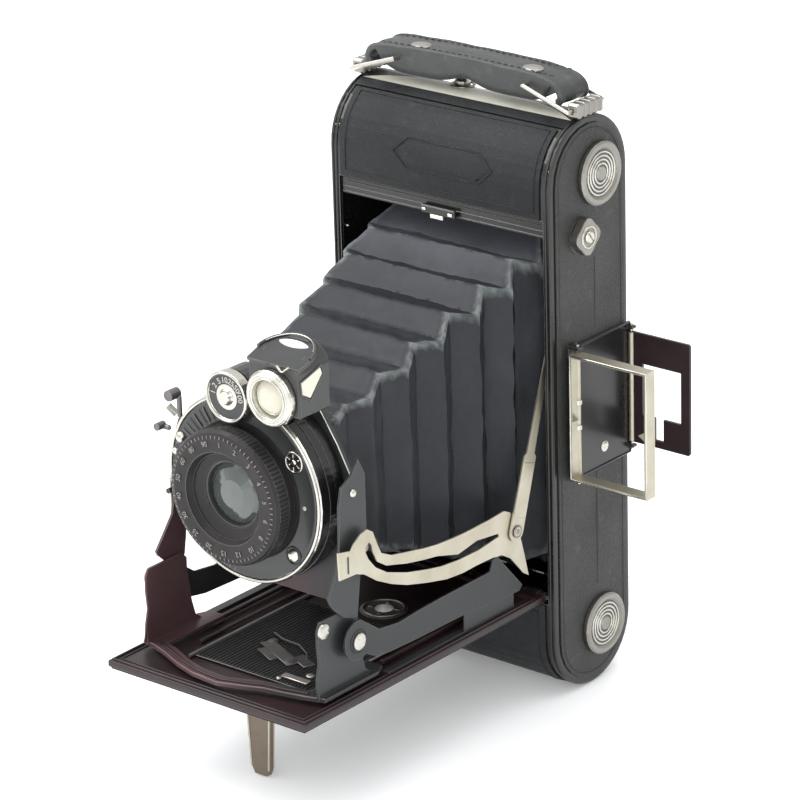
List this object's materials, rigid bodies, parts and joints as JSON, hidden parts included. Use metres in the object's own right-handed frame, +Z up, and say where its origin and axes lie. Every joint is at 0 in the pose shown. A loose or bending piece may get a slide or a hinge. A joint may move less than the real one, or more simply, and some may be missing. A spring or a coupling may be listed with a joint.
{
  "type": "folding roll-film camera",
  "caption": "Upright folding roll-film camera with drop-down bed, self-erecting slotted struts, pleated bellows, dial-set shutter, two finders and a carrying strap.",
  "frame": {"origin": "on the lens axis, at the outer flat face of the back", "axes": "+Z up along the body's long side, +Y out of the back, so the lens looks along -Y, +X to the side that carries the frame finder"},
  "size_m": [0.1251, 0.1533, 0.1987],
  "materials": {
    "black_enamel": "glossy black stoving enamel over brass and aluminium sheet, worn at the edges",
    "brown_black_enamel": "glossy black enamel that has aged to a red-brown, worn at the edges",
    "black_leather": "fine grained black leather, slightly greyed",
    "nickel_plate": "warm, slightly dulled nickel plate",
    "bellows_leather": "smooth blue-grey black leather with worn corners",
    "strap_leather": "black leather with a raised edge",
    "lens_glass": "clear polished glass",
    "red_glass": "dark red clear window"
  },
  "bodies": {
    "root": {"body_shell": "black_enamel", "front_leather_top": "black_leather", "front_leather_bottom": "black_leather", "top_plate": "nickel_plate", "side_leather_right": "black_leather", "side_leather_left": "black_leather", "opening_lintel": "black_enamel", "film_gate_frame": "black_enamel", "spool_cap_upper_right": "nickel_plate", "spool_cap_lower_right": "nickel_plate", "spool_cap_lower_left": "nickel_plate", "bed_catch": "nickel_plate", "bed_hinge_pin": "nickel_plate", "finder_base_plate": "black_enamel", "strap_lug_right": "nickel_plate", "strap_lug_left": "nickel_plate", "bellows": "bellows_leather"},
    "back": {"back_cover": "black_enamel", "back_leather": "black_leather", "red_window": "red_glass", "pressure_plate": "black_enamel"},
    "window_cover": {"red_window_cover": "nickel_plate"},
    "supply_spool": {"supply_spool": "black_enamel"},
    "winding_key": {"winding_key": "nickel_plate", "take_up_spool": "black_enamel"},
    "back_lock": {"back_lock_knob": "nickel_plate"},
    "release_button": {"bed_release_button": "nickel_plate"},
    "finder_front": {"finder_front_frame": "nickel_plate"},
    "finder_rear": {"finder_rear_frame": "brown_black_enamel"},
    "handle": {"handle_strap": "strap_leather"},
    "ring_right": {"strap_ring_right": "nickel_plate"},
    "ring_left": {"strap_ring_left": "nickel_plate"},
    "bed": {"bed_plate": "brown_black_enamel", "bed_leather": "black_leather", "tripod_bush": "nickel_plate", "focus_track_plate": "black_enamel", "bed_arm_right": "black_enamel", "bed_arm_left": "black_enamel"},
    "foot": {"bed_foot": "nickel_plate"},
    "base": {"base_bracket": "brown_black_enamel"},
    "link_right": {"strut_link_right": "nickel_plate"},
    "link_left": {"strut_link_left": "nickel_plate"},
    "strut_right": {"slotted_strut_right": "nickel_plate"},
    "strut_left": {"slotted_strut_left": "nickel_plate"},
    "slider": {"strut_slider": "nickel_plate"},
    "standard": {"standard_frame": "black_enamel", "lens_board": "black_enamel", "shutter_housing": "black_enamel", "shutter_rim": "nickel_plate", "rear_lens_cell": "black_enamel", "speed_dial_housing": "black_enamel"},
    "focusing_ring": {"focusing_ring": "black_enamel", "front_lens": "lens_glass"},
    "speed_dial": {"speed_dial": "nickel_plate"},
    "brilliant_finder": {"brilliant_finder": "black_enamel", "finder_lens_ring": "nickel_plate", "finder_top_lens": "lens_glass"},
    "aperture_lever": {"aperture_lever": "nickel_plate"},
    "cocking_lever": {"cocking_lever": "nickel_plate"},
    "release_lever": {"release_lever": "nickel_plate"}
  },
  "joints": [
    {"name": "bed_fold", "type": "hinge", "parent": "root", "child": "bed", "pos_m": [0, -0.0372, -0.059], "axis": [-1, 0, 0], "range_deg": [0, 90], "stiffness_Nm_per_rad": 0.8, "springref_deg": -57.3, "deforming": ["bellows"]},
    {"name": "base_slide", "type": "slide", "parent": "bed", "child": "base", "axis": [0, 1, 0], "range_m": [0, 0.097]},
    {"name": "link_right_swing", "type": "hinge", "parent": "root", "child": "link_right", "pos_m": [0.0385, -0.0338, 0.026], "axis": [1, 0, 0], "range_deg": [0, 39.01]},
    {"name": "strut_right_fold", "type": "hinge", "parent": "link_right", "child": "strut_right", "pos_m": [0.0385, -0.0524, -0.0314], "axis": [-1, 0, 0], "range_deg": [0, 114.14]},
    {"name": "link_left_swing", "type": "hinge", "parent": "root", "child": "link_left", "pos_m": [-0.0385, -0.0338, 0.026], "axis": [1, 0, 0], "range_deg": [0, 39.01]},
    {"name": "strut_left_fold", "type": "hinge", "parent": "link_left", "child": "strut_left", "pos_m": [-0.0385, -0.0524, -0.0314], "axis": [-1, 0, 0], "range_deg": [0, 114.14]},
    {"name": "slider_travel", "type": "slide", "parent": "strut_right", "child": "slider", "axis": [0, 0.9665, -0.2566], "range_m": [0, 0.0629]},
    {"name": "standard_level", "type": "hinge", "parent": "slider", "child": "standard", "pos_m": [0.0364, -0.1217, -0.013], "axis": [1, 0, 0], "range_deg": [0, 77.13]},
    {"name": "foot_fold", "type": "hinge", "parent": "bed", "child": "foot", "pos_m": [0.0014, -0.1305, -0.0621], "axis": [1, 0, 0], "range_deg": [0, 88], "stiffness_Nm_per_rad": 0.08, "springref_deg": -34.38},
    {"name": "focus_turn", "type": "hinge", "parent": "standard", "child": "focusing_ring", "pos_m": [0, -0.136, 0], "axis": [0, -1, 0], "range_deg": [0, 270]},
    {"name": "speed_dial_turn", "type": "hinge", "parent": "standard", "child": "speed_dial", "pos_m": [-0.0022, -0.133, 0.0295], "axis": [0, -1, 0], "range_deg": [0, 150]},
    {"name": "finder_swivel", "type": "hinge", "parent": "standard", "child": "brilliant_finder", "pos_m": [0.0188, -0.13, 0.038], "axis": [0, 1, 0], "range_deg": [0, 90]},
    {"name": "aperture_lever_swing", "type": "hinge", "parent": "standard", "child": "aperture_lever", "pos_m": [0, -0.1295, 0], "axis": [0, 1, 0], "range_deg": [0, 11]},
    {"name": "cocking_lever_swing", "type": "hinge", "parent": "standard", "child": "cocking_lever", "pos_m": [0, -0.1303, 0], "axis": [0, 1, 0], "range_deg": [0, 14]},
    {"name": "release_lever_swing", "type": "hinge", "parent": "standard", "child": "release_lever", "pos_m": [0, -0.1273, 0], "axis": [0, 1, 0], "range_deg": [0, 10]},
    {"name": "finder_front_fold", "type": "hinge", "parent": "root", "child": "finder_front", "pos_m": [0.0466, -0.031, 0.0018], "axis": [0, 0, 1], "range_deg": [0, 90]},
    {"name": "finder_rear_fold", "type": "hinge", "parent": "root", "child": "finder_rear", "pos_m": [0.04495, -0.0013, 0.00125], "axis": [0, 0, -1], "range_deg": [0, 90]},
    {"name": "handle_lift", "type": "slide", "parent": "root", "child": "handle", "axis": [0, 0, 1], "range_m": [0, 0.004]},
    {"name": "ring_right_turn", "type": "hinge", "parent": "root", "child": "ring_right", "pos_m": [0.0416, -0.01935, 0.0956], "axis": [0, 1, 0], "range_deg": [0, 15.59]},
    {"name": "ring_left_turn", "type": "hinge", "parent": "root", "child": "ring_left", "pos_m": [-0.0416, -0.01935, 0.0956], "axis": [0, -1, 0], "range_deg": [0, 15.59]},
    {"name": "bed_release_press", "type": "slide", "parent": "root", "child": "release_button", "axis": [0, 0, -1], "range_m": [0, 0.0015]},
    {"name": "back_lock_turn", "type": "hinge", "parent": "root", "child": "back_lock", "pos_m": [0.0433, -0.0242, 0.0566], "axis": [1, 0, 0], "range_deg": [0, 90]},
    {"name": "back_open", "type": "hinge", "parent": "root", "child": "back", "pos_m": [0, -0.00035, -0.0709], "axis": [-1, 0, 0], "range_deg": [0, 110]},
    {"name": "window_cover_slide", "type": "slide", "parent": "back", "child": "window_cover", "axis": [0, 0, 1], "range_m": [0, 0.0095]},
    {"name": "winding_key_turn", "type": "hinge", "parent": "root", "child": "winding_key", "pos_m": [-0.046, -0.0153, 0.074], "axis": [-1, 0, 0], "continuous": true},
    {"name": "supply_spool_turn", "type": "hinge", "parent": "root", "child": "supply_spool", "pos_m": [0, -0.0153, -0.074], "axis": [-1, 0, 0], "continuous": true}
  ],
  "couplings": [
    {"joint": "base_slide", "follows": "bed_fold", "m_per_rad": 0.061116},
    {"joint": "link_right_swing", "follows": "bed_fold", "ratio": 0.41123},
    {"joint": "strut_right_fold", "follows": "bed_fold", "ratio": 1.246},
    {"joint": "link_left_swing", "follows": "bed_fold", "ratio": 0.41123},
    {"joint": "strut_left_fold", "follows": "bed_fold", "ratio": 1.246},
    {"joint": "slider_travel", "follows": "bed_fold", "m_per_rad": 0.039387},
    {"joint": "standard_level", "follows": "bed_fold", "ratio": 0.83478},
    {"joint": "ring_right_turn", "follows": "handle_lift", "rad_per_m": 63.644},
    {"joint": "ring_left_turn", "follows": "handle_lift", "rad_per_m": 63.644}
  ]
}
